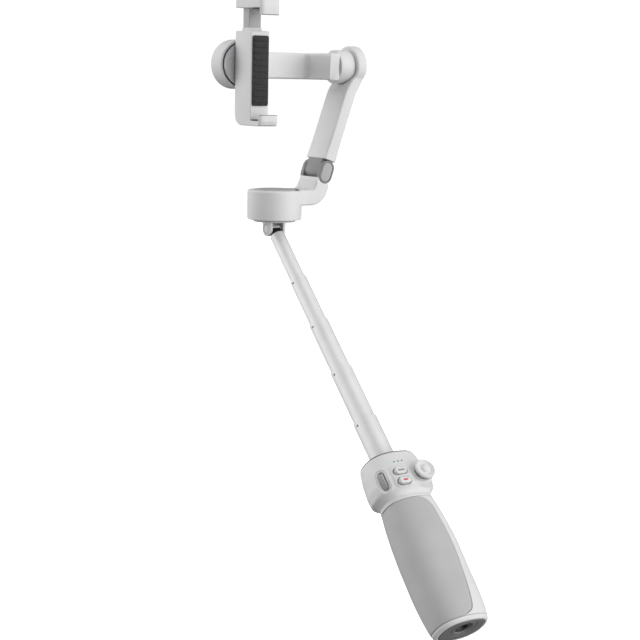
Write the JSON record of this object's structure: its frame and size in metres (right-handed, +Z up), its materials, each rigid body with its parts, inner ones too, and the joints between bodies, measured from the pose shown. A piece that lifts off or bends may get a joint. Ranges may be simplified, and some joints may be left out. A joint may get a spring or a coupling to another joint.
{
  "type": "phone gimbal stabilizer",
  "caption": "Handheld motorised phone stabilizer: slanted handle with telescopic rod, folding arm, pan, tilt and roll motors, and a sliding phone clamp.",
  "frame": {"origin": "centre of the tripod socket on the handle's lower face", "axes": "+Z up along the pan axis, +X along the held phone towards the arms, +Y away from the user; the handle leans 45.4 degrees from +Z towards -Y at its foot"},
  "size_m": [0.1001, 0.2556, 0.3831],
  "materials": {
    "white_shell": "satin",
    "grey_plastic": "satin",
    "grip_rubber": "matt",
    "dark_plastic": "matt",
    "black_rubber": "matt",
    "black_plastic": "matt",
    "rod_aluminium": "satin anodised",
    "steel": "turned",
    "motor_winding": "lacquered copper wire",
    "brass_insert": "turned",
    "battery_sleeve": "shrink sleeve",
    "circuit_board": "lacquered"
  },
  "bodies": {
    "handle": {"grip_core": "grey_plastic", "grip_panel": "grip_rubber", "grip_back_shell": "white_shell", "handle_foot": "white_shell", "base_plate": "dark_plastic", "tripod_insert": "brass_insert", "control_housing": "white_shell", "top_bezel": "dark_plastic", "rod_sleeve": "dark_plastic", "battery_cell": "battery_sleeve", "main_board": "circuit_board", "control_board": "circuit_board", "usb_port": "steel", "led_window": "dark_plastic", "button_surround": "white_shell", "joystick_collar": "white_shell", "zoom_wheel_bezel": "white_shell"},
    "mode_button": {"mode_button": "grey_plastic"},
    "record_button": {"record_button": "grey_plastic"},
    "joystick_yoke": {"joystick_yoke": "steel"},
    "joystick_cap": {"joystick_cap": "white_shell"},
    "zoom_wheel": {"zoom_wheel": "grey_plastic"},
    "trigger": {"trigger": "grey_plastic"},
    "power_button": {"power_button": "grey_plastic"},
    "rod_5": {"rod_section_5": "rod_aluminium"},
    "rod_4": {"rod_section_4": "rod_aluminium"},
    "rod_3": {"rod_section_3": "rod_aluminium"},
    "rod_2": {"rod_section_2": "rod_aluminium"},
    "rod_1": {"rod_section_1": "rod_aluminium", "rod_knuckle": "black_plastic"},
    "pan_base": {"pan_base_plate": "white_shell", "tilt_pin": "steel", "pan_shaft": "steel", "pan_stator": "motor_winding", "pan_bearing": "steel"},
    "pan_arm": {"pan_housing": "white_shell", "pan_top_cap": "grey_plastic", "pan_magnet_ring": "steel", "fold_cheek_front": "grey_plastic", "fold_cheek_rear": "grey_plastic", "fold_pin": "steel"},
    "upper_arm": {"upper_arm": "white_shell", "fold_tongue": "grey_plastic", "tilt_motor_cover": "grey_plastic", "tilt_shaft": "steel", "tilt_stator": "motor_winding", "tilt_bearing": "steel"},
    "roll_arm": {"tilt_rotor_cup": "white_shell", "roll_arm": "white_shell", "roll_motor_housing": "white_shell", "roll_stator": "motor_winding", "roll_bearing": "steel"},
    "clamp": {"roll_rotor": "steel", "roll_magnet_ring": "steel", "clamp_frame": "white_shell", "lower_jaw_pad": "black_rubber", "back_pad": "black_rubber", "clamp_spring": "steel"},
    "upper_jaw": {"clamp_upper_jaw": "white_shell", "upper_jaw_pad": "black_rubber"}
  },
  "joints": [
    {"name": "rod_slide_5", "type": "slide", "parent": "handle", "child": "rod_5", "axis": [0, 0.712, 0.7022], "range_m": [-0.0317, 0]},
    {"name": "rod_slide_4", "type": "slide", "parent": "rod_5", "child": "rod_4", "axis": [0, 0.712, 0.7022], "range_m": [-0.0392, 0]},
    {"name": "rod_slide_3", "type": "slide", "parent": "rod_4", "child": "rod_3", "axis": [0, 0.712, 0.7022], "range_m": [-0.0378, 0]},
    {"name": "rod_slide_2", "type": "slide", "parent": "rod_3", "child": "rod_2", "axis": [0, 0.712, 0.7022], "range_m": [-0.0359, 0]},
    {"name": "rod_slide_1", "type": "slide", "parent": "rod_2", "child": "rod_1", "axis": [0, 0.712, 0.7022], "range_m": [-0.032, 0]},
    {"name": "head_tilt", "type": "hinge", "parent": "rod_1", "child": "pan_base", "pos_m": [0, 0.22101, 0.21795], "axis": [1, 0, 0], "range_deg": [-45.4, 39.6]},
    {"name": "pan_motor", "type": "hinge", "parent": "pan_base", "child": "pan_arm", "pos_m": [0, 0.22101, 0.23395], "axis": [0, 0, 1], "range_deg": [-165, 165]},
    {"name": "arm_fold", "type": "hinge", "parent": "pan_arm", "child": "upper_arm", "pos_m": [0.034, 0.22101, 0.25645], "axis": [0, 1, 0], "range_deg": [0, 115]},
    {"name": "tilt_motor", "type": "hinge", "parent": "upper_arm", "child": "roll_arm", "pos_m": [0.06, 0.22101, 0.32765], "axis": [1, 0, 0], "range_deg": [-120, 120]},
    {"name": "roll_motor", "type": "hinge", "parent": "roll_arm", "child": "clamp", "pos_m": [-0.0195, 0.23901, 0.32795], "axis": [0, 1, 0], "range_deg": [-170, 170]},
    {"name": "jaw_slide", "type": "slide", "parent": "clamp", "child": "upper_jaw", "axis": [0, 0, 1], "range_m": [-0.0135, 0.015], "deforming": ["clamp_spring"]},
    {"name": "joystick_across", "type": "hinge", "parent": "handle", "child": "joystick_yoke", "pos_m": [0.0088, 0.05875, 0.07985], "axis": [0, 0.712, 0.7022], "range_deg": [-10, 10], "stiffness_Nm_per_rad": 0.02},
    {"name": "joystick_along", "type": "hinge", "parent": "joystick_yoke", "child": "joystick_cap", "pos_m": [0.0088, 0.05875, 0.07985], "axis": [1, 0, 0], "range_deg": [-10, 10], "stiffness_Nm_per_rad": 0.02},
    {"name": "mode_press", "type": "slide", "parent": "handle", "child": "mode_button", "axis": [0, 0.7022, -0.712], "range_m": [0, 0.0008], "stiffness_N_per_m": 300},
    {"name": "record_press", "type": "slide", "parent": "handle", "child": "record_button", "axis": [0, 0.7022, -0.712], "range_m": [0, 0.0008], "stiffness_N_per_m": 300},
    {"name": "power_press", "type": "slide", "parent": "handle", "child": "power_button", "axis": [-1, 0, 0], "range_m": [0, 0.0008], "stiffness_N_per_m": 300},
    {"name": "trigger_pull", "type": "hinge", "parent": "handle", "child": "trigger", "pos_m": [0, 0.08518, 0.06658], "axis": [-1, 0, 0], "range_deg": [0, 8], "stiffness_Nm_per_rad": 0.05},
    {"name": "zoom_turn", "type": "hinge", "parent": "handle", "child": "zoom_wheel", "pos_m": [-0.01359, 0.06346, 0.07608], "axis": [0.5736, -0.5752, 0.5833], "continuous": true}
  ],
  "couplings": [
    {"joint": "rod_slide_4", "follows": "rod_slide_5", "ratio": 1.2366},
    {"joint": "rod_slide_3", "follows": "rod_slide_5", "ratio": 1.1924},
    {"joint": "rod_slide_2", "follows": "rod_slide_5", "ratio": 1.1325},
    {"joint": "rod_slide_1", "follows": "rod_slide_5", "ratio": 1.0095}
  ]
}
